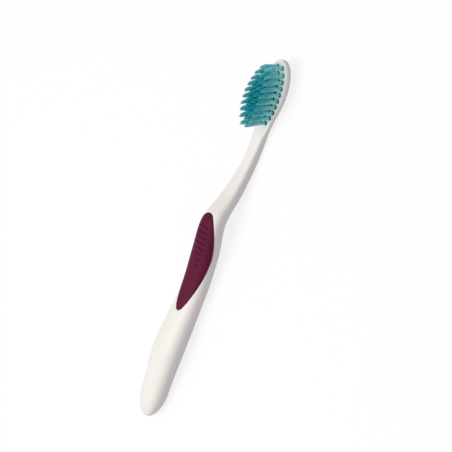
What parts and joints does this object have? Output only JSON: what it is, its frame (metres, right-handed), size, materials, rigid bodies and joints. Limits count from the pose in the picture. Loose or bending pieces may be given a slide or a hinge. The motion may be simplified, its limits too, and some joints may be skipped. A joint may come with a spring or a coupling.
{
  "type": "manual toothbrush",
  "caption": "Manual toothbrush with an S-curved handle, a soft grooved grip pad under the thumb and a tilted oval head of slant-trimmed bristle tufts.",
  "frame": {"origin": "middle of the brush's length and width, on the table that its back lies on", "axes": "+X along the handle towards the head's tip, +Z out of the bristle side, +Y across the brush"},
  "size_m": [0.1798, 0.0144, 0.0206],
  "materials": {
    "handle_plastic": "moulded, satin gloss, warm white",
    "grip_rubber": "soft-touch matt, plum",
    "bristle_nylon": "fine translucent filaments, teal",
    "anchor_metal": "cut strip, plain"
  },
  "bodies": {
    "root": {"grip": "grip_rubber", "handle": "handle_plastic", "tuft_anchors": "anchor_metal", "tuft_row01_a": "bristle_nylon", "tuft_row01_b": "bristle_nylon", "tuft_row02_a": "bristle_nylon", "tuft_row02_b": "bristle_nylon", "tuft_row02_c": "bristle_nylon", "tuft_row03_a": "bristle_nylon", "tuft_row03_b": "bristle_nylon", "tuft_row03_c": "bristle_nylon", "tuft_row03_d": "bristle_nylon", "tuft_row04_a": "bristle_nylon", "tuft_row04_b": "bristle_nylon", "tuft_row04_c": "bristle_nylon", "tuft_row04_d": "bristle_nylon", "tuft_row05_a": "bristle_nylon", "tuft_row05_b": "bristle_nylon", "tuft_row05_c": "bristle_nylon", "tuft_row05_d": "bristle_nylon", "tuft_row06_a": "bristle_nylon", "tuft_row06_b": "bristle_nylon", "tuft_row06_c": "bristle_nylon", "tuft_row06_d": "bristle_nylon", "tuft_row07_a": "bristle_nylon", "tuft_row07_b": "bristle_nylon", "tuft_row07_c": "bristle_nylon", "tuft_row07_d": "bristle_nylon", "tuft_row08_a": "bristle_nylon", "tuft_row08_b": "bristle_nylon", "tuft_row08_c": "bristle_nylon", "tuft_row08_d": "bristle_nylon", "tuft_row09_a": "bristle_nylon", "tuft_row09_b": "bristle_nylon", "tuft_row09_c": "bristle_nylon", "tuft_row10_a": "bristle_nylon", "tuft_row10_b": "bristle_nylon"}
  },
  "joints": []
}
